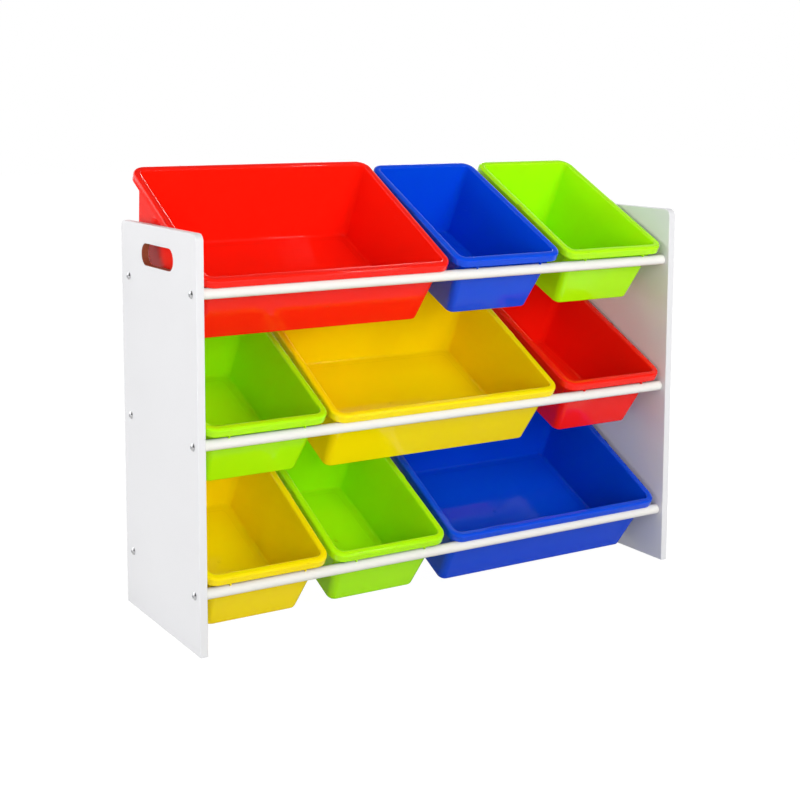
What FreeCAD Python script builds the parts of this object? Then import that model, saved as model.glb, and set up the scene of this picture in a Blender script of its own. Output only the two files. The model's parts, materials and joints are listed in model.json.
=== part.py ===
import FreeCAD, Part
import math
import os

# Toy storage rack: two side panels, three tiers of front and back rods, nine tilted bins.
# X runs across the rack, +Y to the back, +Z up. Lengths are in millimetres.

# Side panels
rack_width = 860.0
panel_depth = 270.0
panel_height = 592.0
panel_thickness = 12.0
panel_corner_radius = 11.0
panel_edge_round = 1.2

# Hand hole near the top of each panel
hand_hole_length = 115.0
hand_hole_height = 32.0
hand_hole_drop = 44.0
hand_hole_edge_round = 1.5

# Rods, from panel to panel
rod_diameter = 16.0
front_rod_inset = 16.0
back_rod_inset = 29.0
back_rod_rise = 2.0
bottom_tier_height = 85.0
tier_spacing = 211.5

# Button-head bolts, and the threaded inserts in the rods' ends
bolt_diameter = 5.9
bolt_length = 25.0
bolt_tip_chamfer = 0.8
bolt_head_diameter = 12.0
bolt_head_height = 3.6
bolt_head_rim = 0.7
bolt_socket_flats = 4.0
bolt_socket_depth = 2.0
bolt_hole_clearance = 0.25
thread_clearance = 0.05
insert_diameter = 9.0
insert_length = 14.0
insert_lead = 0.8
insert_fit = 0.02
insert_bore_spare = 1.0

# Bins: sizes over the rim, seen square to the rim. Tapers are a wall's lean over the tub's full depth.
# The widths share the rack's inner width, less the play, in the proportion stated here.
bin_kinds = {
    "large": {
        "width": 412.0,
        "length": 298.0,
        "front_depth": 114.0,
        "back_depth": 125.0,
        "front_taper": 8.0,
        "back_taper": 25.0,
        "side_taper": 13.0,
        "rib_drop": 13.7,
    },
    "small": {
        "width": 200.0,
        "length": 293.0,
        "front_depth": 109.0,
        "back_depth": 123.0,
        "front_taper": 8.0,
        "back_taper": 18.0,
        "side_taper": 18.0,
        "rib_drop": 18.3,
    },
}
bin_wall = 2.2
rim_width = 11.0
rim_thickness = 2.2
rim_round = 4.0
rim_inner_round = 1.0
lip_height = 13.0
lip_thickness = 1.8
rim_corner_radius = 22.0
tub_corner_radius = 12.0
floor_round = 4.0
floor_inner_round = 3.0
rib_thickness = 2.0
rib_share = 0.3
side_gusset_length = 13.0
side_gusset_height = 17.0
floor_spare = 12.0

# Clearances
seat_gap = 0.3
side_gap = 0.4
row_play = 24.0

# Each row from left to right: bin kind, colour, and the share of the row's free width before it
row_layouts = {
    "top": (("large", "red", 0.0), ("small", "blue", 0.31), ("small", "green", 0.45)),
    "middle": (("small", "green", 0.0), ("large", "yellow", 0.31), ("small", "red", 0.57)),
    "bottom": (("small", "yellow", 0.0), ("small", "green", 0.26), ("large", "blue", 0.46)),
}

# Places that follow from the sizes, with Y measured from the panels' front edge
rod_radius = rod_diameter / 2
inner_width = rack_width - 2 * panel_thickness
front_rod_y = front_rod_inset
back_rod_y = panel_depth - back_rod_inset
tiers = {"bottom": bottom_tier_height}
tiers["middle"] = tiers["bottom"] + tier_spacing
tiers["top"] = tiers["middle"] + tier_spacing


def row_width(layout):
    return sum(bin_kinds[kind]["width"] for kind, colour, share in layout)


# The fullest row fills the inner width, all but the play
width_factor = (inner_width - row_play) / max(row_width(layout) for layout in row_layouts.values())
for sizes in bin_kinds.values():
    sizes["width"] *= width_factor


def vec(x, y, z):
    return FreeCAD.Vector(x, y, z)


def front_wall_y(sizes, drop):
    # The tub's outer front face, in the bin's own frame, at a drop below the rim
    return rim_width - bin_wall + sizes["front_taper"] * drop / sizes["back_depth"]


def back_wall_y(sizes, drop):
    return sizes["length"] - rim_width + bin_wall - sizes["back_taper"] * drop / sizes["back_depth"]


def floor_line(sizes):
    # The tub's floor falls away from the rim towards the back: drop at the rim's front edge, and slope
    front_y = front_wall_y(sizes, sizes["front_depth"])
    back_y = back_wall_y(sizes, sizes["back_depth"])
    slope = (sizes["back_depth"] - sizes["front_depth"]) / (back_y - front_y)
    return sizes["front_depth"] - slope * front_y, slope


def bin_pose(kind):
    # The bin hangs by its front ribs on the front rod and rests its floor on the back rod.
    sizes = bin_kinds[kind]
    reach = rod_radius + seat_gap
    front_drop = sizes["rib_drop"] + reach
    lean = math.atan2(sizes["front_taper"], sizes["back_depth"])
    front_y = front_wall_y(sizes, front_drop) - reach / math.cos(lean)
    floor_start, slope = floor_line(sizes)
    floor_angle = math.atan(slope)
    back_distance = (floor_start + slope * front_y - front_drop) * math.cos(floor_angle) + reach
    rod_run = back_rod_y - front_rod_y
    floor_tilt = math.asin(back_distance / math.hypot(rod_run, back_rod_rise))
    tilt = floor_tilt + math.atan2(back_rod_rise, rod_run) + floor_angle
    rim_y = front_rod_y - front_y * math.cos(tilt) - front_drop * math.sin(tilt)
    rim_rise = -front_y * math.sin(tilt) + front_drop * math.cos(tilt)
    return {"tilt": tilt, "rim_y": rim_y, "rim_rise": rim_rise}


def bin_back_y(kind):
    sizes, pose = bin_kinds[kind], bin_pose(kind)
    floor_y = back_wall_y(sizes, sizes["back_depth"])
    return pose["rim_y"] + floor_y * math.cos(pose["tilt"]) + sizes["back_depth"] * math.sin(pose["tilt"])


# The origin lies on the floor, midway between the foremost and rearmost points
front_limit = min(0.0, bin_pose("large")["rim_y"], bin_pose("small")["rim_y"])
back_limit = max(panel_depth, bin_back_y("large"), bin_back_y("small"))
origin_y = (front_limit + back_limit) / 2


def rounded_outline(x_low, x_high, y_low, y_high, radius, z):
    # A closed rectangle with round corners, counter-clockwise from above
    r = radius
    s = r * (1 - math.sqrt(0.5))
    corners = (
        (vec(x_high - r, y_low, z), vec(x_high - s, y_low + s, z), vec(x_high, y_low + r, z)),
        (vec(x_high, y_high - r, z), vec(x_high - s, y_high - s, z), vec(x_high - r, y_high, z)),
        (vec(x_low + r, y_high, z), vec(x_low + s, y_high - s, z), vec(x_low, y_high - r, z)),
        (vec(x_low, y_low + r, z), vec(x_low + s, y_low + s, z), vec(x_low + r, y_low, z)),
    )
    edges = []
    for i, (start, middle, end) in enumerate(corners):
        edges.append(Part.Arc(start, middle, end).toShape())
        edges.append(Part.makeLine(end, corners[(i + 1) % 4][0]))
    return Part.Wire(edges)


def plate(points, offset):
    # A flat face through the points, drawn out by the offset
    return Part.Face(Part.makePolygon(points + points[:1])).extrude(offset)


def edges_at_height(shape, z):
    return [e for e in shape.Edges if lies_at(e.BoundBox.ZMin, e.BoundBox.ZMax, z)]


def lies_at(low, high, place):
    tolerance = 0.01
    return abs(low - place) < tolerance and abs(high - place) < tolerance


def tub_corners(sizes, inset, z):
    # The tub's plan at height z, without its round corners, moved in by inset
    lean = sizes["side_taper"] * -z / sizes["back_depth"]
    half = sizes["width"] / 2 - rim_width + bin_wall - lean - inset
    y_low = front_wall_y(sizes, -z) + inset
    y_high = back_wall_y(sizes, -z) - inset
    return [vec(-half, y_low, z), vec(half, y_low, z), vec(half, y_high, z), vec(-half, y_high, z)]


def tapered_block(upper, lower):
    # Solid with flat leaning walls between two plans of four corners each
    faces = [upper, lower[::-1]]
    for i in range(4):
        j = (i + 1) % 4
        faces.append([lower[i], lower[j], upper[j], upper[i]])
    return Part.Solid(Part.Shell([Part.Face(Part.makePolygon(f + f[:1])) for f in faces]))


def floor_height(sizes, inset, y):
    start, slope = floor_line(sizes)
    return -start - slope * y + inset * math.hypot(1, slope)


def tub_solid(sizes, inset, z_top, bottom_round):
    # Leaning walls drawn past the floor, cut off along it, and rounded
    z_low = -sizes["back_depth"] - floor_spare
    block = tapered_block(tub_corners(sizes, inset, z_top), tub_corners(sizes, inset, z_low))
    side, far = sizes["width"], sizes["length"]
    points = [
        vec(-side, 0, floor_height(sizes, inset, 0)),
        vec(-side, far, floor_height(sizes, inset, far)),
        vec(-side, far, 2 * z_low),
        vec(-side, 0, 2 * z_low),
    ]
    tub = block.cut(plate(points, vec(2 * side, 0, 0)))
    tub = tub.makeFillet(tub_corner_radius - inset, [e for e in tub.Edges if is_corner(sizes, e)])
    return tub.makeFillet(bottom_round, [e for e in tub.Edges if on_floor(sizes, inset, e)])


def is_corner(sizes, edge):
    return edge.BoundBox.ZLength > sizes["front_depth"] / 2


def on_floor(sizes, inset, edge):
    tolerance = 0.01
    return all(abs(v.Z - floor_height(sizes, inset, v.Y)) < tolerance for v in edge.Vertexes)


def rim_solid(sizes):
    # Flat flange with a lip turned down all round it
    block = rim_block(sizes, 0, 0)
    block = block.makeFillet(rim_round, edges_at_height(block, 0))
    return block.cut(rim_block(sizes, lip_thickness, -rim_thickness))


def rim_block(sizes, inset, top):
    # The rim's plan, moved in by inset, from the lip's lower edge up to top
    half = sizes["width"] / 2 - inset
    far = sizes["length"] - inset
    outline = rounded_outline(-half, half, inset, far, rim_corner_radius - inset, -lip_height)
    return Part.Face(outline).extrude(vec(0, 0, lip_height + top))


def front_ribs(sizes):
    # Two ribs under the front rim, which carry the bin on the front rod
    root = bin_wall / 2
    reach = lip_thickness / 3
    drop = sizes["rib_drop"]
    points = (
        (reach, -rim_thickness / 2),
        (reach, -drop),
        (front_wall_y(sizes, drop) + root, -drop),
        (front_wall_y(sizes, rim_thickness / 2) + root, -rim_thickness / 2),
    )
    return ribs_from_side(sizes, points)


def back_ribs(sizes):
    # Two stiffening ribs under the back rim
    root = bin_wall / 2
    reach = sizes["length"] - lip_thickness / 3
    drop = lip_height - lip_thickness
    points = (
        (reach, -rim_thickness / 2),
        (reach, -drop),
        (back_wall_y(sizes, drop) - root, -drop),
        (back_wall_y(sizes, rim_thickness / 2) - root, -rim_thickness / 2),
    )
    return ribs_from_side(sizes, points)


def ribs_from_side(sizes, points):
    ribs = []
    for side in (-1, 1):
        x = side * rib_share * sizes["width"] - rib_thickness / 2
        ribs.append(plate([vec(x, y, z) for y, z in points], vec(rib_thickness, 0, 0)))
    return ribs


def side_gussets(sizes):
    # An open-bottomed gusset under the middle of each side rim
    gussets = []
    y = (sizes["length"] - side_gusset_length) / 2
    for side in (-1, 1):
        outer = sizes["width"] / 2 - lip_thickness / 3
        wall = sizes["width"] / 2 - rim_width + bin_wall / 2
        foot = wall - sizes["side_taper"] * side_gusset_height / sizes["back_depth"]
        low, high = -side_gusset_height, -rim_thickness / 2
        points = [vec(side * outer, y, high), vec(side * outer, y, low)]
        points += [vec(side * foot, y, low), vec(side * wall, y, high)]
        block = plate(points, vec(0, side_gusset_length, 0))
        skin = lip_thickness
        inner = outer - skin
        points = [vec(side * inner, y + skin, -rim_thickness), vec(side * inner, y + skin, low)]
        points += [vec(side * foot, y + skin, low), vec(side * wall, y + skin, -rim_thickness)]
        gussets.append(block.cut(plate(points, vec(0, side_gusset_length - 2 * skin, 0))))
    return gussets


def make_bin(kind):
    sizes = bin_kinds[kind]
    overlap = 1.0
    tub = tub_solid(sizes, 0, 0, floor_round)
    body = tub.fuse([rim_solid(sizes)] + front_ribs(sizes) + back_ribs(sizes) + side_gussets(sizes))
    cavity = tub_solid(sizes, bin_wall, overlap, floor_inner_round)
    solid = body.cut(cavity).removeSplitter()
    inner_edges = [e for e in edges_at_height(solid, 0) if inside_rim(sizes, e)]
    return solid.makeFillet(rim_inner_round, inner_edges)


def inside_rim(sizes, edge):
    centre = edge.CenterOfMass
    margin = (rim_width + rim_round) / 2
    inside_x = abs(centre.x) < sizes["width"] / 2 - margin
    return inside_x and margin < centre.y < sizes["length"] - margin


def place_bin(shape, kind, x_centre, tier):
    pose = bin_pose(kind)
    placed = shape.copy()
    placed.rotate(vec(0, 0, 0), vec(1, 0, 0), math.degrees(pose["tilt"]))
    placed.translate(vec(x_centre, pose["rim_y"], tiers[tier] + pose["rim_rise"]))
    return placed


def row_centres(layout):
    # Bins stand side by side; what is left of the inner width is shared out between them
    free = inner_width - row_width(layout) - 2 * side_gap
    edge = side_gap - inner_width / 2
    centres = []
    for kind, colour, share in layout:
        width = bin_kinds[kind]["width"]
        edge += share * free
        centres.append(edge + width / 2)
        edge += width
    return centres


def panel_outline(x):
    # Square at the foot, round at both top corners
    r = panel_corner_radius
    s = r * (1 - math.sqrt(0.5))
    d, h = panel_depth, panel_height
    edges = [
        Part.makeLine(vec(x, 0, 0), vec(x, d, 0)),
        Part.makeLine(vec(x, d, 0), vec(x, d, h - r)),
        Part.Arc(vec(x, d, h - r), vec(x, d - s, h - s), vec(x, d - r, h)).toShape(),
        Part.makeLine(vec(x, d - r, h), vec(x, r, h)),
        Part.Arc(vec(x, r, h), vec(x, s, h - s), vec(x, 0, h - r)).toShape(),
        Part.makeLine(vec(x, 0, h - r), vec(x, 0, 0)),
    ]
    return Part.Wire(edges)


def hand_hole(x):
    # Round-ended slot, cut right through the panel
    r = hand_hole_height / 2
    z = panel_height - hand_hole_drop
    front = (panel_depth - hand_hole_length) / 2 + r
    back = panel_depth - front
    edges = [
        Part.makeLine(vec(x, front, z - r), vec(x, back, z - r)),
        Part.Arc(vec(x, back, z - r), vec(x, back + r, z), vec(x, back, z + r)).toShape(),
        Part.makeLine(vec(x, back, z + r), vec(x, front, z + r)),
        Part.Arc(vec(x, front, z + r), vec(x, front - r, z), vec(x, front, z - r)).toShape(),
    ]
    return Part.Face(Part.Wire(edges)).extrude(vec(panel_thickness, 0, 0))


def face_edges(board, x):
    # The edges of both broad faces of a panel that starts at x
    edges = []
    for e in board.Edges:
        box = e.BoundBox
        if lies_at(box.XMin, box.XMax, x) or lies_at(box.XMin, box.XMax, x + panel_thickness):
            edges.append(e)
    return edges


def near_hole(edge):
    # Whether an edge lies in the hand hole's box
    box = edge.BoundBox
    spare = panel_edge_round
    z = panel_height - hand_hole_drop
    high = z + hand_hole_height / 2 + spare
    low = z - hand_hole_height / 2 - spare
    front = (panel_depth - hand_hole_length) / 2 - spare
    return low < box.ZMin and box.ZMax < high and front < box.YMin and box.YMax < panel_depth - front


def make_panel(side):
    x = -rack_width / 2 if side == "left" else rack_width / 2 - panel_thickness
    board = Part.Face(panel_outline(x)).extrude(vec(panel_thickness, 0, 0))
    raised = [e for e in face_edges(board, x) if e.BoundBox.ZMax > panel_edge_round]
    board = board.makeFillet(panel_edge_round, raised).cut(hand_hole(x))
    board = board.makeFillet(hand_hole_edge_round, [e for e in face_edges(board, x) if near_hole(e)])
    hole_radius = bolt_diameter / 2 + bolt_hole_clearance
    for y, z in rod_places().values():
        board = board.cut(Part.makeCylinder(hole_radius, panel_thickness, vec(x, y, z), vec(1, 0, 0)))
    return board


def rod_places():
    places = {}
    for tier, height in tiers.items():
        places[tier + "_front"] = (front_rod_y, height)
        places[tier + "_back"] = (back_rod_y, height + back_rod_rise)
    return places


def make_rod(y, z):
    start = vec(-inner_width / 2, y, z)
    rod = Part.makeCylinder(rod_radius, inner_width, start, vec(1, 0, 0))
    bore_radius = insert_diameter / 2 + insert_fit
    bore_depth = insert_length + insert_bore_spare
    for side in (-1, 1):
        mouth = vec(side * inner_width / 2, y, z)
        rod = rod.cut(Part.makeCylinder(bore_radius, bore_depth, mouth, vec(-side, 0, 0)))
    return rod


def revolve_along_x(points, side, x, y, z):
    # points are (distance outwards from x, radius); side is -1 or 1 for outwards along -X or +X
    outline = [vec(x + side * a, y + r, z) for a, r in points]
    face = Part.Face(Part.makePolygon(outline + outline[:1]))
    return face.revolve(vec(x, y, z), vec(side, 0, 0), 360)


def bolt_head(side, x, y, z):
    # Low dome on a short rim, with a hexagon socket
    radius = bolt_head_diameter / 2
    dome = bolt_head_height - bolt_head_rim
    ball = (radius ** 2 + dome ** 2) / (2 * dome)
    centre = vec(x + side * (bolt_head_height - ball), y, z)
    barrel = Part.makeCylinder(radius, bolt_head_height, vec(x, y, z), vec(side, 0, 0))
    cap = Part.makeSphere(ball, centre).common(barrel)
    corner = bolt_socket_flats / math.sqrt(3)
    floor_x = x + side * (bolt_head_height - bolt_socket_depth)
    points = []
    for i in range(6):
        angle = math.radians(60 * i)
        points.append(vec(floor_x, y + corner * math.cos(angle), z + corner * math.sin(angle)))
    return cap.cut(plate(points, vec(side * bolt_socket_depth, 0, 0)))


def make_bolt(side, y, z):
    x = side * rack_width / 2
    r = bolt_diameter / 2
    tip = -bolt_length
    points = ((0, 0), (0, r), (tip + bolt_tip_chamfer, r), (tip, r - bolt_tip_chamfer), (tip, 0))
    return bolt_head(side, x, y, z).fuse(revolve_along_x(points, side, x, y, z))


def make_insert(side, y, z):
    # Threaded sleeve pressed into the rod's end, with a lead-in at its far end
    outer = insert_diameter / 2
    bore = bolt_diameter / 2 + thread_clearance
    tip = -insert_length
    lead = insert_lead
    points = ((0, bore), (0, outer), (tip + lead, outer), (tip, outer - lead), (tip, bore))
    return revolve_along_x(points, side, side * inner_width / 2, y, z)


def save(name, shape):
    placed = shape.copy()
    placed.translate(vec(0, -origin_y, 0))
    placed.exportStep("parts/" + name + ".step")


def main():
    os.makedirs("parts", exist_ok=True)
    places = rod_places()
    for name, (y, z) in places.items():
        save(name + "_rod", make_rod(y, z))
    for name, side in (("left", -1), ("right", 1)):
        save(name + "_side_panel", make_panel(name))
        bolts = [make_bolt(side, y, z) for y, z in places.values()]
        inserts = [make_insert(side, y, z) for y, z in places.values()]
        save(name + "_panel_bolts", Part.makeCompound(bolts))
        save(name + "_rod_inserts", Part.makeCompound(inserts))
    shapes = {kind: make_bin(kind) for kind in ("large", "small")}
    for tier, layout in row_layouts.items():
        for (kind, colour, share), x in zip(layout, row_centres(layout)):
            save("_".join((tier, kind, colour, "bin")), place_bin(shapes[kind], kind, x, tier))


main()
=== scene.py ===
import bpy
import bmesh
import json
import math
from mathutils import Matrix, Vector


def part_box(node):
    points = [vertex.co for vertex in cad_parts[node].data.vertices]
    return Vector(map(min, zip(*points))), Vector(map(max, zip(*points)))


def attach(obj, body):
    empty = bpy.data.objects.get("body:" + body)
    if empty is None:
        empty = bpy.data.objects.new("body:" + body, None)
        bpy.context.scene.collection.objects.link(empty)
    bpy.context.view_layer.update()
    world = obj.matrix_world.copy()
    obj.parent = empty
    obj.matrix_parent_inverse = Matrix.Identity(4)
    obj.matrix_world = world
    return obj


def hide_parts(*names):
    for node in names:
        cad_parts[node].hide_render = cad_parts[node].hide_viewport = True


# Toy storage rack with nine tilted bins. Metres, the CAD's own frame: +X right, +Y back, +Z up.

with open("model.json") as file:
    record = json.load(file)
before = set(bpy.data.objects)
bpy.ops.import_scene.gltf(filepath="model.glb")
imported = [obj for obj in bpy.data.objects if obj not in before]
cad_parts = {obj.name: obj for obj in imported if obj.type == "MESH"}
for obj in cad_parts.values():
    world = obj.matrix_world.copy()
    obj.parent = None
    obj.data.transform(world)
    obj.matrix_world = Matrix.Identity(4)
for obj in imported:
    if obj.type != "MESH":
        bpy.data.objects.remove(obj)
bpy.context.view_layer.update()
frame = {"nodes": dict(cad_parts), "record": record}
mm = 0.001


def linkPiece(name, mesh, body, *nodes):
    piece = bpy.data.objects.new(name, mesh)
    bpy.context.scene.collection.objects.link(piece)
    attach(piece, body)
    if nodes:
        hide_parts(*nodes)
    return piece


def smoothShade(piece, angle=35):
    # round edges stay soft and flat faces stay flat
    piece.data.shade_smooth()
    piece.data.set_sharp_from_angle(angle=math.radians(angle))
    weighted = piece.modifiers.new("flatFaces", "WEIGHTED_NORMAL")
    weighted.keep_sharp = True


def linkRings(bm, near, far):
    count = len(near)
    for i in range(count):
        j = (i + 1) % count
        bm.faces.new((near[i], near[j], far[j], far[i]))


def meshFrom(bm, name, *materials):
    bmesh.ops.recalc_face_normals(bm, faces=bm.faces)
    mesh = bpy.data.meshes.new(name)
    bm.to_mesh(mesh)
    bm.free()
    for material in materials:
        mesh.materials.append(material)
    return mesh


def quarterRound(steps):
    # sine and cosine of the steps of a quarter turn
    angles = [math.pi / 2 * i / steps for i in range(steps + 1)]
    return [(math.sin(angle), math.cos(angle)) for angle in angles]


def boxCentre(node):
    low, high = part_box(node)
    return (low + high) / 2


def nodeBody(node):
    for body, members in frame["record"]["behaviour"]["bodies"].items():
        if node in members:
            return body


def newGroup(name, inputs, outputs):
    group = bpy.data.node_groups.new(name, "ShaderNodeTree")
    for label, kind, value in inputs:
        socket = group.interface.new_socket(name=label, in_out="INPUT", socket_type=kind)
        socket.default_value = value
    for label, kind in outputs:
        group.interface.new_socket(name=label, in_out="OUTPUT", socket_type=kind)
    start = group.nodes.new("NodeGroupInput")
    end = group.nodes.new("NodeGroupOutput")
    return group, start, end


def noiseNode(tree, coords, scale, detail, roughness):
    noise = tree.nodes.new("ShaderNodeTexNoise")
    noise.inputs["Detail"].default_value = detail
    noise.inputs["Roughness"].default_value = roughness
    tree.links.new(coords, noise.inputs["Vector"])
    if isinstance(scale, (int, float)):
        noise.inputs["Scale"].default_value = scale
    else:
        tree.links.new(scale, noise.inputs["Scale"])
    return noise


def mathNode(tree, operation, a, b):
    node = tree.nodes.new("ShaderNodeMath")
    node.operation = operation
    for socket, value in zip(node.inputs, (a, b)):
        if isinstance(value, (int, float)):
            socket.default_value = value
        else:
            tree.links.new(value, socket)
    return node.outputs[0]


def smoothMask(tree, value, low, high):
    # 0 below low, 1 above high, with a soft step between
    remap = tree.nodes.new("ShaderNodeMapRange")
    remap.interpolation_type = "SMOOTHSTEP"
    remap.inputs["From Min"].default_value = low
    remap.inputs["From Max"].default_value = high
    tree.links.new(value, remap.inputs["Value"])
    return remap.outputs["Result"]


scuffShape = {
    "stretch": (1.0, 0.08, 0.3),
    "turn": (0.3, 0.2, 0.7),
    "lineScale": 620.0,
    "linesKept": (0.64, 0.72),
    "patchScale": 14.0,
    "patchesKept": (0.5, 0.7),
}


def buildMouldGroup():
    # Fine skin, slow tone changes and a few handling scuffs, as moulded plastic has
    group, start, end = newGroup(
        "mouldedSkin",
        [("Skin Scale", "NodeSocketFloat", 900.0), ("Flow Scale", "NodeSocketFloat", 9.0),
         ("Scuffs", "NodeSocketFloat", 0.5)],
        [("Height", "NodeSocketFloat"), ("Tone", "NodeSocketFloat"), ("Scuff Mask", "NodeSocketFloat")],
    )
    place = group.nodes.new("ShaderNodeTexCoord")
    skin = noiseNode(group, place.outputs["Object"], start.outputs["Skin Scale"], 2.0, 0.6)
    flow = noiseNode(group, place.outputs["Object"], start.outputs["Flow Scale"], 3.0, 0.55)
    stretch = group.nodes.new("ShaderNodeMapping")
    stretch.inputs["Scale"].default_value = scuffShape["stretch"]
    stretch.inputs["Rotation"].default_value = scuffShape["turn"]
    group.links.new(place.outputs["Object"], stretch.inputs["Vector"])
    lines = noiseNode(group, stretch.outputs["Vector"], scuffShape["lineScale"], 2.0, 0.5)
    picked = smoothMask(group, lines.outputs["Fac"], *scuffShape["linesKept"])
    patches = noiseNode(group, place.outputs["Object"], scuffShape["patchScale"], 1.0, 0.5)
    worn = smoothMask(group, patches.outputs["Fac"], *scuffShape["patchesKept"])
    scuffs = mathNode(group, "MULTIPLY", mathNode(group, "MULTIPLY", picked, worn), start.outputs["Scuffs"])
    group.links.new(skin.outputs["Fac"], end.inputs["Height"])
    group.links.new(flow.outputs["Fac"], end.inputs["Tone"])
    group.links.new(scuffs, end.inputs["Scuff Mask"])
    return group


def buildPaintGroup():
    # Sprayed paint: a fine orange peel over slow waves in the board or dowel below
    group, start, end = newGroup(
        "sprayedPaint",
        [("Peel Scale", "NodeSocketFloat", 420.0), ("Wave Scale", "NodeSocketFloat", 6.0),
         ("Stretch", "NodeSocketVector", (1.0, 1.0, 1.0))],
        [("Height", "NodeSocketFloat"), ("Tone", "NodeSocketFloat")],
    )
    peelShare = 0.35
    place = group.nodes.new("ShaderNodeTexCoord")
    scaled = group.nodes.new("ShaderNodeVectorMath")
    scaled.operation = "MULTIPLY"
    group.links.new(place.outputs["Object"], scaled.inputs[0])
    group.links.new(start.outputs["Stretch"], scaled.inputs[1])
    peel = noiseNode(group, scaled.outputs[0], start.outputs["Peel Scale"], 2.0, 0.5)
    waves = noiseNode(group, scaled.outputs[0], start.outputs["Wave Scale"], 3.0, 0.5)
    fine = mathNode(group, "MULTIPLY", peel.outputs["Fac"], peelShare)
    height = mathNode(group, "ADD", fine, waves.outputs["Fac"])
    group.links.new(height, end.inputs["Height"])
    group.links.new(waves.outputs["Fac"], end.inputs["Tone"])
    return group


mouldedSkin = buildMouldGroup()
sprayedPaint = buildPaintGroup()


def newMaterial(name):
    material = bpy.data.materials.new(name)
    material.use_nodes = True
    tree = material.node_tree
    shader = next(n for n in tree.nodes if n.type == "BSDF_PRINCIPLED")
    return material, tree, shader


def groupNode(tree, group, **values):
    node = tree.nodes.new("ShaderNodeGroup")
    node.node_tree = group
    for label, value in values.items():
        node.inputs[label.replace("_", " ")].default_value = value
    return node


def blendColours(tree, mask, low, high):
    ramp = tree.nodes.new("ShaderNodeMix")
    ramp.data_type = "RGBA"
    tree.links.new(mask, ramp.inputs["Factor"])
    for label, value in (("A", low), ("B", high)):
        socket = next(s for s in ramp.inputs if s.name == label and s.type == "RGBA")
        if isinstance(value, (tuple, list)):
            socket.default_value = (*value, 1.0)
        else:
            tree.links.new(value, socket)
    return next(s for s in ramp.outputs if s.type == "RGBA")


def spread(tree, value, low, high):
    # a noise lies mostly between 0.3 and 0.7, so that stretch covers low to high
    remap = tree.nodes.new("ShaderNodeMapRange")
    remap.inputs["From Min"].default_value = 0.3
    remap.inputs["From Max"].default_value = 0.7
    remap.inputs["To Min"].default_value = low
    remap.inputs["To Max"].default_value = high
    tree.links.new(value, remap.inputs["Value"])
    return remap.outputs["Result"]


def addBump(tree, shader, height, distance, strength):
    bump = tree.nodes.new("ShaderNodeBump")
    bump.inputs["Distance"].default_value = distance
    bump.inputs["Strength"].default_value = strength
    tree.links.new(height, bump.inputs["Height"])
    tree.links.new(bump.outputs["Normal"], shader.inputs["Normal"])


def scaledColour(colour, share):
    return tuple(c * share for c in colour)


plasticFinish = {
    "colours": {
        "red": (0.95, 0.011, 0.003),
        "blue": (0.001, 0.068, 0.68),
        "green": (0.42, 0.88, 0.003),
        "yellow": (0.98, 0.725, 0.001),
    },
    "glow": {
        "red": (1.0, 0.25, 0.12),
        "blue": (0.2, 0.35, 1.0),
        "green": (0.6, 1.0, 0.2),
        "yellow": (1.0, 0.8, 0.2),
    },
    "toneLow": 0.98,
    "toneHigh": 1.02,
    "roughLow": 0.05,
    "roughHigh": 0.10,
    "ior": 1.49,
    "gloss": 0.4,
    "scatter": 0.4,
    "scatterReach": 4 * mm,
    "skinScale": 900.0,
    "flowScale": 9.0,
    "scuffs": 0.35,
    "scuffLift": 0.02,
    "scuffRoughness": 0.25,
    "brightest": 0.98,
    "skinHeight": 0.02 * mm,
    "skinStrength": 0.3,
}


def makePlastic(colourName):
    values = plasticFinish
    colour = values["colours"][colourName]
    material, tree, shader = newMaterial(colourName + "MouldedPlastic")
    skin = groupNode(tree, mouldedSkin, Skin_Scale=values["skinScale"], Flow_Scale=values["flowScale"],
                     Scuffs=values["scuffs"])
    dark, light = scaledColour(colour, values["toneLow"]), scaledColour(colour, values["toneHigh"])
    tone = blendColours(tree, skin.outputs["Tone"], dark, light)
    scuffed = tuple(min(values["brightest"], c + values["scuffLift"]) for c in colour)
    worn = blendColours(tree, skin.outputs["Scuff Mask"], tone, scuffed)
    tree.links.new(worn, shader.inputs["Base Color"])
    rough = spread(tree, skin.outputs["Tone"], values["roughLow"], values["roughHigh"])
    dull = mathNode(tree, "MULTIPLY", skin.outputs["Scuff Mask"], values["scuffRoughness"])
    tree.links.new(mathNode(tree, "ADD", rough, dull), shader.inputs["Roughness"])
    shader.inputs["IOR"].default_value = values["ior"]
    shader.inputs["Specular IOR Level"].default_value = values["gloss"]
    shader.inputs["Subsurface Weight"].default_value = values["scatter"]
    shader.inputs["Subsurface Radius"].default_value = values["glow"][colourName]
    shader.inputs["Subsurface Scale"].default_value = values["scatterReach"]
    addBump(tree, shader, skin.outputs["Height"], values["skinHeight"], values["skinStrength"])
    return material


paintFinish = {
    "board": (0.71, 0.71, 0.725),
    "rod": (0.79, 0.78, 0.74),
    "toneLow": 0.975,
    "toneHigh": 1.015,
    "roughLow": 0.34,
    "roughHigh": 0.46,
    "peelScale": 420.0,
    "waveScale": 6.0,
    "peelHeight": 0.25 * mm,
    "peelStrength": 0.25,
}


def makePaint(name, colour, stretch):
    values = paintFinish
    material, tree, shader = newMaterial(name)
    paint = groupNode(tree, sprayedPaint, Peel_Scale=values["peelScale"], Wave_Scale=values["waveScale"],
                      Stretch=stretch)
    dark, light = scaledColour(colour, values["toneLow"]), scaledColour(colour, values["toneHigh"])
    tree.links.new(blendColours(tree, paint.outputs["Tone"], dark, light), shader.inputs["Base Color"])
    rough = spread(tree, paint.outputs["Tone"], values["roughLow"], values["roughHigh"])
    tree.links.new(rough, shader.inputs["Roughness"])
    addBump(tree, shader, paint.outputs["Height"], values["peelHeight"], values["peelStrength"])
    return material


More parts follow.
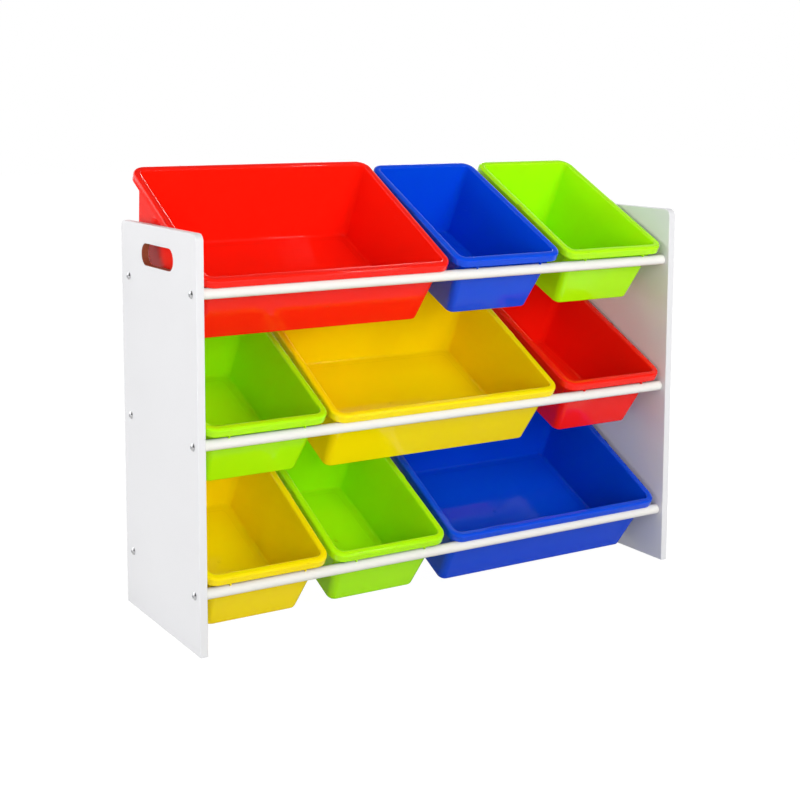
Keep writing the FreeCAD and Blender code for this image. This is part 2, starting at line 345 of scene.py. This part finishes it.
rawBoardFinish = {
    "fibre": (0.42, 0.13, 0.06),
    "resin": (0.24, 0.07, 0.033),
    "fibreScale": 900.0,
    "clumpScale": 160.0,
    "roughness": 0.85,
    "fibreHeight": 0.6 * mm,
    "fibreStrength": 0.6,
}


def makeRawBoard():
    # Cut edge of fibreboard: short fibres in darker and lighter clumps
    values = rawBoardFinish
    material, tree, shader = newMaterial("rawFibreboard")
    place = tree.nodes.new("ShaderNodeTexCoord")
    fibres = noiseNode(tree, place.outputs["Object"], values["fibreScale"], 6.0, 0.7)
    clumps = noiseNode(tree, place.outputs["Object"], values["clumpScale"], 3.0, 0.6)
    both = mathNode(tree, "ADD", fibres.outputs["Fac"], clumps.outputs["Fac"])
    mixed = mathNode(tree, "MULTIPLY", both, 0.5)
    mask = spread(tree, mixed, 0.0, 1.0)
    tree.links.new(blendColours(tree, mask, values["resin"], values["fibre"]), shader.inputs["Base Color"])
    shader.inputs["Roughness"].default_value = values["roughness"]
    addBump(tree, shader, mixed, values["fibreHeight"], values["fibreStrength"])
    return material


steelFinish = {
    "worn": (0.78, 0.78, 0.80),
    "bright": (0.90, 0.90, 0.91),
    "wearScale": 700.0,
    "roughLow": 0.12,
    "roughHigh": 0.24,
    "wearHeight": 0.05 * mm,
    "wearStrength": 0.3,
}


def makePlatedSteel():
    values = steelFinish
    material, tree, shader = newMaterial("platedSteel")
    place = tree.nodes.new("ShaderNodeTexCoord")
    wear = noiseNode(tree, place.outputs["Object"], values["wearScale"], 3.0, 0.6).outputs["Fac"]
    tree.links.new(blendColours(tree, wear, values["worn"], values["bright"]), shader.inputs["Base Color"])
    shader.inputs["Metallic"].default_value = 1.0
    tree.links.new(spread(tree, wear, values["roughLow"], values["roughHigh"]), shader.inputs["Roughness"])
    addBump(tree, shader, wear, values["wearHeight"], values["wearStrength"])
    return material


brassFinish = {
    "groove": (0.52, 0.36, 0.13),
    "crest": (0.72, 0.55, 0.24),
    "threadScale": 250.0,
    "threadWander": 0.4,
    "roughness": 0.3,
    "threadHeight": 0.4 * mm,
    "threadStrength": 0.8,
}


def makeBrass():
    # Turned sleeve with a thread, drawn as fine rings along X
    values = brassFinish
    material, tree, shader = newMaterial("turnedBrass")
    place = tree.nodes.new("ShaderNodeTexCoord")
    thread = tree.nodes.new("ShaderNodeTexWave")
    thread.bands_direction = "X"
    thread.inputs["Scale"].default_value = values["threadScale"]
    thread.inputs["Distortion"].default_value = values["threadWander"]
    tree.links.new(place.outputs["Object"], thread.inputs["Vector"])
    rings = thread.outputs["Fac"]
    tree.links.new(blendColours(tree, rings, values["groove"], values["crest"]), shader.inputs["Base Color"])
    shader.inputs["Metallic"].default_value = 1.0
    shader.inputs["Roughness"].default_value = values["roughness"]
    addBump(tree, shader, rings, values["threadHeight"], values["threadStrength"])
    return material


plastics = {name: makePlastic(name) for name in plasticFinish["colours"]}
boardPaint = makePaint("whiteBoardPaint", paintFinish["board"], (1.0, 1.0, 1.0))
rodPaint = makePaint("ivoryRodPaint", paintFinish["rod"], (0.12, 1.0, 1.0))
rawBoard = makeRawBoard()
platedSteel = makePlatedSteel()
turnedBrass = makeBrass()
print("materials ready")


binShape = {
    "large": {"width": 412 * mm, "length": 298 * mm, "frontDepth": 114 * mm, "backDepth": 125 * mm,
              "frontTaper": 8 * mm, "backTaper": 25 * mm, "sideTaper": 13 * mm, "ribDrop": 13.7 * mm},
    "small": {"width": 200 * mm, "length": 293 * mm, "frontDepth": 109 * mm, "backDepth": 123 * mm,
              "frontTaper": 8 * mm, "backTaper": 18 * mm, "sideTaper": 18 * mm, "ribDrop": 18.3 * mm},
}
binDetail = {
    "wall": 2.2 * mm,
    "rimWidth": 11 * mm,
    "rimThickness": 2.2 * mm,
    "rimRound": 4 * mm,
    "rimInnerRound": 2.5 * mm,
    "lipHeight": 13 * mm,
    "lipThickness": 1.8 * mm,
    "lipEdge": 0.5 * mm,
    "rimCorner": 22 * mm,
    "tubCorner": 12 * mm,
    "smallestCorner": 4 * mm,
    "wallTopDrop": 8.8 * mm,
    "wallTopCornerGain": 0.4 * mm,
    "floorRound": 4 * mm,
    "flatFloorInset": 6 * mm,
    "ribThickness": 2 * mm,
    "ribShare": 0.3,
    "ribNose": 0.8 * mm,
    "gussetLength": 13 * mm,
    "gussetHeight": 17 * mm,
    "seatGap": 0.3 * mm,
    "floorPanelInset": 13 * mm,
    "floorPanelStep": 0.5 * mm,
    # inset past the panel's edge, and share of the step
    "floorPanelEdge": ((0.3 * mm, 1.0), (0.0, 0.9), (-0.7 * mm, 0.1), (-1.0 * mm, 0.0)),
    "gateRadius": 3.0 * mm,
    "gatePlace": 0.47,
    # share of the gate's radius, and height
    "gateProfile": ((1.0, 0.0), (0.92, 0.35 * mm), (0.72, 0.35 * mm), (0.6, 0.1 * mm)),
    "gateSides": 24,
    "cornerSteps": 8,
    "roundSteps": 4,
}


def wallInsets(shape, inset, drop):
    # Inset of the front, back and side walls at a drop below the rim
    share = drop / shape["backDepth"]
    return (inset + shape["frontTaper"] * share, inset + shape["backTaper"] * share,
            inset + shape["sideTaper"] * share)


def floorLine(shape):
    # Drop of the outer floor at the rim's front edge, and how fast it falls towards the back
    top = binDetail["rimWidth"] - binDetail["wall"]
    frontY = wallInsets(shape, top, shape["frontDepth"])[0]
    backY = shape["length"] - wallInsets(shape, top, shape["backDepth"])[1]
    slope = (shape["backDepth"] - shape["frontDepth"]) / (backY - frontY)
    return shape["frontDepth"] - slope * frontY, slope


def ringPoints(halfFront, halfBack, yLow, yHigh, radius, heightAt):
    # A closed ring with round corners, narrower or wider at the back than at the front
    points = []
    steps = binDetail["cornerSteps"]
    corners = ((halfFront - radius, yLow + radius, -90), (halfBack - radius, yHigh - radius, 0),
               (radius - halfBack, yHigh - radius, 90), (radius - halfFront, yLow + radius, 180))
    for x, y, start in corners:
        for i in range(steps + 1):
            angle = math.radians(start + 90 * i / steps)
            px, py = x + radius * math.cos(angle), y + radius * math.sin(angle)
            points.append(Vector((px, py, heightAt(py))))
    return points


def rimRing(shape, inset, drop):
    half = shape["width"] / 2 - inset
    radius = max(binDetail["rimCorner"] - inset, binDetail["smallestCorner"])
    return ringPoints(half, half, inset, shape["length"] - inset, radius, lambda y: -drop)


def wallRing(shape, inset, drop, radius):
    front, back, side = wallInsets(shape, inset, drop)
    half = shape["width"] / 2 - side
    return ringPoints(half, half, front, shape["length"] - back, radius, lambda y: -drop)


def floorRing(shape, inset, lift, radius):
    # A ring that lies a lift above the sloping outer floor
    start, slope = floorLine(shape)
    dropAt = lambda y: start + slope * y - lift
    # a wall's inset depends on the floor's drop there, so it is guessed and then mended in a few rounds
    guess, rounds = 20 * mm, 4
    yLow, yHigh = guess, shape["length"] - guess
    for _ in range(rounds):
        yLow = wallInsets(shape, inset, dropAt(yLow))[0]
        yHigh = shape["length"] - wallInsets(shape, inset, dropAt(yHigh))[1]
    halfFront = shape["width"] / 2 - wallInsets(shape, inset, dropAt(yLow))[2]
    halfBack = shape["width"] / 2 - wallInsets(shape, inset, dropAt(yHigh))[2]
    return ringPoints(halfFront, halfBack, yLow, yHigh, radius, lambda y: -dropAt(y))


def shellRings(shape):
    # Rings from the middle of the inner floor, up the inside, over the rim and down the outside
    d = binDetail
    wall, inner = d["wall"], d["rimWidth"]
    tub = inner - wall
    innerCorner = d["tubCorner"] - wall
    rings = []
    # flat panel in the inner floor, with a shallow step round it
    for offset, share in d["floorPanelEdge"]:
        inset = inner + d["floorPanelInset"] + offset
        rings.append(floorRing(shape, inset, wall + d["floorPanelStep"] * share, innerCorner))
    # round between the floor and the walls
    r = d["floorRound"]
    for sine, cosine in quarterRound(d["roundSteps"]):
        corner = max(innerCorner - r * (1 - sine), d["smallestCorner"])
        rings.append(floorRing(shape, inner + r * (1 - sine), wall + r * (1 - cosine), corner))
    # inner walls, and the round at the rim's inner edge
    r = d["rimInnerRound"]
    rings.append(wallRing(shape, inner, d["wallTopDrop"], innerCorner))
    rings.append(wallRing(shape, inner, r, innerCorner + d["wallTopCornerGain"]))
    for sine, cosine in quarterRound(d["roundSteps"])[1:]:
        rings.append(rimRing(shape, inner - r * (1 - cosine), r * (1 - sine)))
    # flat top and round outer edge
    r = d["rimRound"]
    for sine, cosine in quarterRound(d["roundSteps"] + 1):
        rings.append(rimRing(shape, r * (1 - sine), r * (1 - cosine)))
    # lip, and the underside of the rim: inset and drop
    e, lip, low, under = d["lipEdge"], d["lipThickness"], d["lipHeight"], d["rimThickness"]
    for inset, drop in ((0, low - e), (e * 0.3, low - e * 0.3), (e, low), (lip - e, low), (lip, low - e),
                        (lip, under + e), (lip + e, under), (tub - e, under)):
        rings.append(rimRing(shape, inset, drop))
    # outer walls and outer floor
    rings.append(wallRing(shape, tub, under + e, d["tubCorner"]))
    r = d["floorRound"]
    for sine, cosine in quarterRound(d["roundSteps"]):
        inset = r * (1 - cosine)
        rings.append(floorRing(shape, tub + inset, r * (1 - sine), d["tubCorner"] - inset))
    rings.append(floorRing(shape, tub + r + d["flatFloorInset"], 0, d["tubCorner"] - r))
    return rings


def bridgeRings(bm, rings):
    # A closed skin over the rings, flat across the first and the last
    loops = []
    for ring in rings:
        loops.append([bm.verts.new(point) for point in ring])
        if len(loops) > 1:
            linkRings(bm, loops[-2], loops[-1])
    bm.faces.new(loops[0])
    bm.faces.new(loops[-1][::-1])


def addPrism(bm, outline, offset):
    # outline: points round a flat face; offset: the way it is drawn out
    near = [bm.verts.new(p) for p in outline]
    far = [bm.verts.new(p + offset) for p in outline]
    bm.faces.new(near[::-1])
    bm.faces.new(far)
    linkRings(bm, near, far)


def addRibs(bm, shape):
    # Two ribs under the front rim, which sit on the rod, and two under the back rim
    d = binDetail
    top = -d["rimThickness"] / 2
    tub = d["rimWidth"] - d["wall"] / 2
    frontDrop, backDrop = shape["ribDrop"], d["lipHeight"] - d["lipThickness"]
    reach = d["lipThickness"] / 3
    nose = d["ribNose"]
    for side in (-1, 1):
        x = side * d["ribShare"] * shape["width"] - d["ribThickness"] / 2
        front = [(reach, top), (reach, nose - frontDrop), (reach + nose, -frontDrop),
                 (wallInsets(shape, tub, frontDrop)[0], -frontDrop), (tub, top)]
        addPrism(bm, [Vector((x, y, z)) for y, z in front], Vector((d["ribThickness"], 0, 0)))
        far = shape["length"]
        back = [(far - reach, top), (far - reach, -backDrop),
                (far - wallInsets(shape, tub, backDrop)[1], -backDrop), (far - tub, top)]
        addPrism(bm, [Vector((x, y, z)) for y, z in back], Vector((d["ribThickness"], 0, 0)))


def addGussets(bm, shape):
    # Open-bottomed gusset under the middle of each side rim: two cheeks and an outer web
    d = binDetail
    skin = d["lipThickness"]
    low, high = -d["gussetHeight"], -d["rimThickness"] / 2
    y = (shape["length"] - d["gussetLength"]) / 2
    outer = shape["width"] / 2 - d["lipThickness"] / 3
    wall = shape["width"] / 2 - d["rimWidth"] + d["wall"] / 2
    foot = wall - shape["sideTaper"] * d["gussetHeight"] / shape["backDepth"]
    for side in (-1, 1):
        cheek = [Vector((side * outer, 0, high)), Vector((side * outer, 0, low)),
                 Vector((side * foot, 0, low)), Vector((side * wall, 0, high))]
        for start in (y, y + d["gussetLength"] - skin):
            addPrism(bm, [p + Vector((0, start, 0)) for p in cheek], Vector((0, skin, 0)))
        web = [Vector((side * outer, y, high)), Vector((side * outer, y, low)),
               Vector((side * (outer - skin), y, low)), Vector((side * (outer - skin), y, high))]
        addPrism(bm, web, Vector((0, d["gussetLength"], 0)))


def addGateMark(bm, shape):
    # Round mark of the moulding gate, a little off the middle of the inner floor
    d = binDetail
    start, slope = floorLine(shape)
    centreY = shape["length"] * d["gatePlace"]
    base = -(start + slope * centreY) + d["wall"] + d["floorPanelStep"]
    angles = [2 * math.pi * i / d["gateSides"] for i in range(d["gateSides"])]
    rings = []
    for share, lift in d["gateProfile"]:
        radius = d["gateRadius"] * share
        ring = []
        for angle in angles:
            back = radius * math.sin(angle)
            ring.append(bm.verts.new((radius * math.cos(angle), centreY + back, base + lift - slope * back)))
        rings.append(ring)
    for low, up in zip(rings, rings[1:]):
        linkRings(bm, low, up)
    bm.faces.new(rings[-1])


def binMesh(name, shape, material):
    bm = bmesh.new()
    bridgeRings(bm, shellRings(shape))
    addRibs(bm, shape)
    addGussets(bm, shape)
    addGateMark(bm, shape)
    return meshFrom(bm, name, material)


def binPose(shape, frontRod, backRod, rodRadius):
    # The ribs hang on the front rod, the front wall leans on it, and the floor rests on the back rod
    d = binDetail
    reach = rodRadius + d["seatGap"]
    tub = d["rimWidth"] - d["wall"]
    frontDrop = shape["ribDrop"] + reach
    lean = math.atan2(shape["frontTaper"], shape["backDepth"])
    frontY = wallInsets(shape, tub, frontDrop)[0] - reach / math.cos(lean)
    start, slope = floorLine(shape)
    floorAngle = math.atan(slope)
    backDistance = (start + slope * frontY - frontDrop) * math.cos(floorAngle) + reach
    run, rise = backRod.y - frontRod.y, backRod.z - frontRod.z
    tilt = math.asin(backDistance / math.hypot(run, rise)) + math.atan2(rise, run) + floorAngle
    rimY = frontRod.y - frontY * math.cos(tilt) - frontDrop * math.sin(tilt)
    rimZ = frontRod.z - frontY * math.sin(tilt) + frontDrop * math.cos(tilt)
    return tilt, rimY, rimZ


def makeBin(node):
    tier, kind, colour = node.split("_")[:3]
    low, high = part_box(node)
    shape = binShape[kind]
    rodLow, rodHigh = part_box(tier + "_front_rod")
    frontRod, backRod = boxCentre(tier + "_front_rod"), boxCentre(tier + "_back_rod")
    tilt, rimY, rimZ = binPose(shape, frontRod, backRod, (rodHigh.y - rodLow.y) / 2)
    mesh = binMesh(node + "Shell", shape, plastics[colour])
    place = Matrix.Translation(Vector(((low.x + high.x) / 2, rimY, rimZ)))
    mesh.transform(place @ Matrix.Rotation(tilt, 4, "X"))
    piece = linkPiece(node + "_moulding", mesh, nodeBody(node), node)
    smoothShade(piece)


for node in frame["nodes"]:
    if node.endswith("_bin"):
        makeBin(node)
print("bins ready")


panelShape = {
    "corner": 11 * mm,
    "edgeRound": 1.3 * mm,
    "holeLength": 115 * mm,
    "holeHeight": 32 * mm,
    "holeDrop": 44 * mm,
    "cornerSteps": 10,
    "holeSteps": 20,
    "edgeSteps": 3,
    "holeMargin": 0.1 * mm,
}


def arcPoints(y, z, radius, start, end, steps):
    points = []
    for i in range(steps + 1):
        angle = math.radians(start + (end - start) * i / steps)
        points.append((y + radius * math.cos(angle), z + radius * math.sin(angle)))
    return points


def panelOutline(low, high):
    r, steps = panelShape["corner"], panelShape["cornerSteps"]
    outline = [(low.y, low.z), (high.y, low.z)]
    outline += arcPoints(high.y - r, high.z - r, r, 0, 90, steps)
    outline += arcPoints(low.y + r, high.z - r, r, 90, 180, steps)
    return outline


def holeOutline(low, high):
    r, steps = panelShape["holeHeight"] / 2, panelShape["holeSteps"]
    middle = (low.y + high.y) / 2
    reach = panelShape["holeLength"] / 2 - r
    z = high.z - panelShape["holeDrop"]
    outline = arcPoints(middle + reach, z, r, -90, 90, steps)
    outline += arcPoints(middle - reach, z, r, 90, 270, steps)
    return outline


def flatCurve(name, outlines, thickness, edgeRound):
    # Closed flat outlines, drawn to a thickness with round edges
    curve = bpy.data.curves.new(name, "CURVE")
    curve.dimensions = "2D"
    curve.fill_mode = "BOTH"
    curve.extrude = thickness / 2 - edgeRound
    curve.bevel_depth = edgeRound
    curve.bevel_resolution = panelShape["edgeSteps"]
    curve.offset = -edgeRound
    for outline in outlines:
        spline = curve.splines.new("POLY")
        spline.points.add(len(outline) - 1)
        for point, (a, b) in zip(spline.points, outline):
            point.co = (a, b, 0, 1)
        spline.use_cyclic_u = True
    holder = bpy.data.objects.new(name, curve)
    mesh = bpy.data.meshes.new_from_object(holder)
    bpy.data.objects.remove(holder)
    return mesh


def makePanel(node):
    low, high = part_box(node)
    outlines = [panelOutline(low, high), holeOutline(low, high)]
    mesh = flatCurve(node + "Board", outlines, high.x - low.x, panelShape["edgeRound"])
    # drawn in X and Y, so turn it into the panel's Y and Z
    turn = Matrix(((0, 0, 1, (low.x + high.x) / 2), (1, 0, 0, 0), (0, 1, 0, 0), (0, 0, 0, 1)))
    mesh.transform(turn)
    mesh.materials.clear()
    mesh.materials.append(boardPaint)
    mesh.materials.append(rawBoard)
    # the hand hole's wall shows the raw board
    middle = Vector(((low.x + high.x) / 2, (low.y + high.y) / 2, high.z - panelShape["holeDrop"]))
    reachY = panelShape["holeLength"] / 2 + panelShape["holeMargin"]
    reachZ = panelShape["holeHeight"] / 2 + panelShape["holeMargin"]
    for face in mesh.polygons:
        away = face.center - middle
        if abs(away.y) < reachY and abs(away.z) < reachZ and abs(face.normal.x) < 0.5:
            face.material_index = 1
    piece = linkPiece(node + "_painted", mesh, nodeBody(node), node)
    smoothShade(piece)


for node in ("left_side_panel", "right_side_panel"):
    makePanel(node)
print("side panels ready")


rodShape = {"sides": 64, "endChamfer": 0.5 * mm}


def addRod(bm, profile, sides, centre):
    # profile: (x, radius) pairs along X
    angles = [2 * math.pi * i / sides for i in range(sides)]
    rings = []
    for x, radius in profile:
        rings.append([(x, centre.y + radius * math.cos(a), centre.z + radius * math.sin(a)) for a in angles])
    bridgeRings(bm, rings)


def makeRod(node):
    low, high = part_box(node)
    radius = (high.z - low.z) / 2
    c = rodShape["endChamfer"]
    profile = ((low.x, radius - c), (low.x + c, radius), (high.x - c, radius), (high.x, radius - c))
    bm = bmesh.new()
    addRod(bm, profile, rodShape["sides"], (low + high) / 2)
    mesh = meshFrom(bm, node + "Dowel", rodPaint)
    piece = linkPiece(node + "_painted", mesh, nodeBody(node), node)
    smoothShade(piece)


for node in frame["nodes"]:
    if node.endswith("_rod"):
        makeRod(node)
print("rods ready")


boltShape = {
    "headRadius": 6 * mm,
    "headHeight": 3.6 * mm,
    "headRim": 0.7 * mm,
    "headEdge": 0.2 * mm,
    "domeSteps": 7,
    "socketFlats": 4 * mm,
    "socketDepth": 2 * mm,
    "socketMouth": 1.25,
    "socketRimDrop": 0.3 * mm,
    "socketPoint": 0.6 * mm,
    "socketPointRadius": 0.2 * mm,
    "shankRadius": 2.95 * mm,
    "tipChamfer": 0.8 * mm,
    "sides": 48,
}


def hexRadius(angle, flats):
    # Distance from the middle to a hexagon's side
    turn = (math.degrees(angle) + 30) % 60 - 30
    return flats / 2 / math.cos(math.radians(turn))


def addBolt(bm, x, side, centre, tip):
    # Rings along X, each with its distance from the panel's face and its radius at an angle
    d = boltShape
    head, height, shank = d["headRadius"], d["headHeight"], d["shankRadius"]
    dome = height - d["headRim"]
    ball = (head ** 2 + dome ** 2) / (2 * dome)
    mouth = d["socketFlats"] / 2 * d["socketMouth"]
    rings = [(tip, lambda a: shank - d["tipChamfer"]), (tip + d["tipChamfer"], lambda a: shank),
             (0.0, lambda a: shank), (0.0, lambda a: head - d["headEdge"]),
             (d["headEdge"], lambda a: head), (d["headRim"], lambda a: head)]
    for i in range(1, d["domeSteps"] + 1):
        radius = head + (mouth - head) * i / d["domeSteps"]
        lift = height - ball + math.sqrt(ball ** 2 - radius ** 2)
        rings.append((lift, lambda a, r=radius: r))
    floor = height - d["socketDepth"]
    rings.append((height - d["socketRimDrop"], lambda a: hexRadius(a, d["socketFlats"])))
    rings.append((floor, lambda a: hexRadius(a, d["socketFlats"])))
    rings.append((floor - d["socketPoint"], lambda a: d["socketPointRadius"]))
    angles = [2 * math.pi * i / d["sides"] for i in range(d["sides"])]
    points = []
    for out, radiusAt in rings:
        ring = [(radiusAt(a), math.cos(a), math.sin(a)) for a in angles]
        points.append([(x + side * out, centre.y + r * across, centre.z + r * up) for r, across, up in ring])
    bridgeRings(bm, points)


def makeBolts(node, side, panel):
    panelLow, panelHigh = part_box(panel)
    low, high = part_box(node)
    x = panelHigh.x if side > 0 else panelLow.x
    tip = (low.x - x) if side > 0 else (x - high.x)
    bm = bmesh.new()
    for rod in sorted(frame["nodes"]):
        if rod.endswith("_rod"):
            addBolt(bm, x, side, boxCentre(rod), tip)
    mesh = meshFrom(bm, node + "Heads", platedSteel)
    piece = linkPiece(node + "_domed", mesh, nodeBody(node), node)
    smoothShade(piece, 40)


makeBolts("left_panel_bolts", -1, "left_side_panel")
makeBolts("right_panel_bolts", 1, "right_side_panel")
for node in ("left_rod_inserts", "right_rod_inserts"):
    for slot in frame["nodes"][node].material_slots:
        slot.material = turnedBrass
print("bolts and sleeves ready")


studio = {
    "floorHalf": 12.0,
    "floorColour": (0.58, 0.58, 0.58),
    "floorRoughness": 0.9,
    "floorWhite": 0.85,
    "floorGlow": 1.15,
    "ambient": 0.42,
    "slopeLeft": 0.1,
    "slopeBack": 0.45,
    "darkest": 0.05,
    "mirrorCeiling": 0.12,
    "mirrorBackdrop": 1.5,
    "backdropSide": (0.0, 0.6),
    "backdropTop": (0.5, 0.75),
    "aim": (0, 0, 0.35),
    "mirroredLamp": 1.0,
    "lamps": {
        "frontPanel": {"place": (0.6, -3.2, 1.75), "size": 2.0, "power": 70.0},
        "cameraPanel": {"place": (-1.3, -3.3, 0.75), "size": 1.6, "power": 42.0},
        "leftPanel": {"place": (-3.6, 0.6, 0.9), "size": 2.4, "power": 78.0},
        "rightPanel": {"place": (3.5, 1.0, 1.1), "size": 2.4, "power": 58.0},
        "leftFlash": {"place": (-2.9, -2.6, 2.1), "size": 0.25, "power": 7.0},
        "rightFlash": {"place": (1.9, -3.3, 1.9), "size": 0.25, "power": 7.0},
        "topFlash": {"place": (1.6, 1.9, 2.4), "size": 0.6, "power": 8.0},
    },
}
view = {
    "place": (-1.2264, -1.9146, 0.7757),
    "turn": -30.406,
    "downward": 6.468,
    "focalPixels": 1442.0,
    "imagePixels": 800,
    "axisX": 350.0,
    "axisY": 260.0,
    "sensor": 36.0,
}


def makeFloor():
    # Shows nearly white to the camera, and keeps the rack's shadow
    half = studio["floorHalf"]
    corners = [(-half, -half, 0), (half, -half, 0), (half, half, 0), (-half, half, 0)]
    mesh = bpy.data.meshes.new("studioFloor")
    mesh.from_pydata(corners, [], [(0, 1, 2, 3)])
    floor = bpy.data.objects.new("studioFloor", mesh)
    bpy.context.scene.collection.objects.link(floor)
    material, tree, shader = newMaterial("paleFloor")
    shader.inputs["Base Color"].default_value = (*studio["floorColour"], 1)
    shader.inputs["Roughness"].default_value = studio["floorRoughness"]
    shader.inputs["Specular IOR Level"].default_value = 0.0
    white = tree.nodes.new("ShaderNodeEmission")
    white.inputs["Strength"].default_value = studio["floorGlow"]
    rays = tree.nodes.new("ShaderNodeLightPath")
    mix = tree.nodes.new("ShaderNodeMixShader")
    output = next(n for n in tree.nodes if n.type == "OUTPUT_MATERIAL")
    share = mathNode(tree, "MULTIPLY", rays.outputs["Is Camera Ray"], studio["floorWhite"])
    tree.links.new(share, mix.inputs[0])
    tree.links.new(shader.outputs[0], mix.inputs[1])
    tree.links.new(white.outputs[0], mix.inputs[2])
    tree.links.new(mix.outputs[0], output.inputs["Surface"])
    mesh.materials.append(material)


def makeWorld():
    # Light a little stronger on the left and behind; gloss mirrors a bright backdrop and a dim room
    world = bpy.data.worlds.new("studioWhite")
    world.use_nodes = True
    bpy.context.scene.world = world
    tree = world.node_tree
    background = next(n for n in tree.nodes if n.type == "BACKGROUND")
    background.inputs["Color"].default_value = (1, 1, 1, 1)
    rays = tree.nodes.new("ShaderNodeLightPath")
    place = tree.nodes.new("ShaderNodeTexCoord")
    split = tree.nodes.new("ShaderNodeSeparateXYZ")
    tree.links.new(place.outputs["Generated"], split.inputs[0])
    diffuse = studio["ambient"]
    for axis, slope in (("X", -studio["slopeLeft"]), ("Y", studio["slopeBack"])):
        diffuse = mathNode(tree, "ADD", mathNode(tree, "MULTIPLY", split.outputs[axis], slope), diffuse)
    diffuse = mathNode(tree, "MAXIMUM", diffuse, studio["darkest"])
    behind = smoothMask(tree, split.outputs["Y"], *studio["backdropSide"])
    low = mathNode(tree, "SUBTRACT", 1.0, smoothMask(tree, split.outputs["Z"], *studio["backdropTop"]))
    gain = studio["mirrorBackdrop"] - studio["mirrorCeiling"]
    backdrop = mathNode(tree, "MULTIPLY", mathNode(tree, "MULTIPLY", behind, low), gain)
    mirror = mathNode(tree, "ADD", backdrop, studio["mirrorCeiling"])
    glossy = rays.outputs["Is Glossy Ray"]
    shared = mathNode(tree, "MULTIPLY", mathNode(tree, "SUBTRACT", 1.0, glossy), diffuse)
    lit = mathNode(tree, "ADD", shared, mathNode(tree, "MULTIPLY", glossy, mirror))
    seen = mathNode(tree, "MAXIMUM", rays.outputs["Is Camera Ray"], rays.outputs["Is Transmission Ray"])
    rest = mathNode(tree, "MULTIPLY", mathNode(tree, "SUBTRACT", 1.0, seen), lit)
    tree.links.new(mathNode(tree, "ADD", seen, rest), background.inputs["Strength"])


def makeLamp(name, place, size, power):
    data = bpy.data.lights.new(name, "AREA")
    data.shape = "DISK"
    data.size = size
    data.energy = power
    lamp = bpy.data.objects.new(name, data)
    bpy.context.scene.collection.objects.link(lamp)
    lamp.location = place
    # only the small lamps are mirrored, as points of light
    lamp.visible_glossy = size < studio["mirroredLamp"]
    lamp.rotation_euler = (Vector(studio["aim"]) - Vector(place)).to_track_quat("-Z", "Y").to_euler()


def makeCamera():
    v = view
    data = bpy.data.cameras.new("photoView")
    data.sensor_width = v["sensor"]
    data.lens = v["focalPixels"] / v["imagePixels"] * v["sensor"]
    data.shift_x = (v["imagePixels"] / 2 - v["axisX"]) / v["imagePixels"]
    data.shift_y = -(v["imagePixels"] / 2 - v["axisY"]) / v["imagePixels"]
    camera = bpy.data.objects.new("photoView", data)
    bpy.context.scene.collection.objects.link(camera)
    camera.location = v["place"]
    camera.rotation_euler = (math.radians(90 - v["downward"]), 0, math.radians(v["turn"]))
    bpy.context.scene.camera = camera


makeFloor()
makeWorld()
for name, lamp in studio["lamps"].items():
    makeLamp(name, lamp["place"], lamp["size"], lamp["power"])
makeCamera()
bpy.context.scene.view_settings.view_transform = "Standard"
print("studio ready")
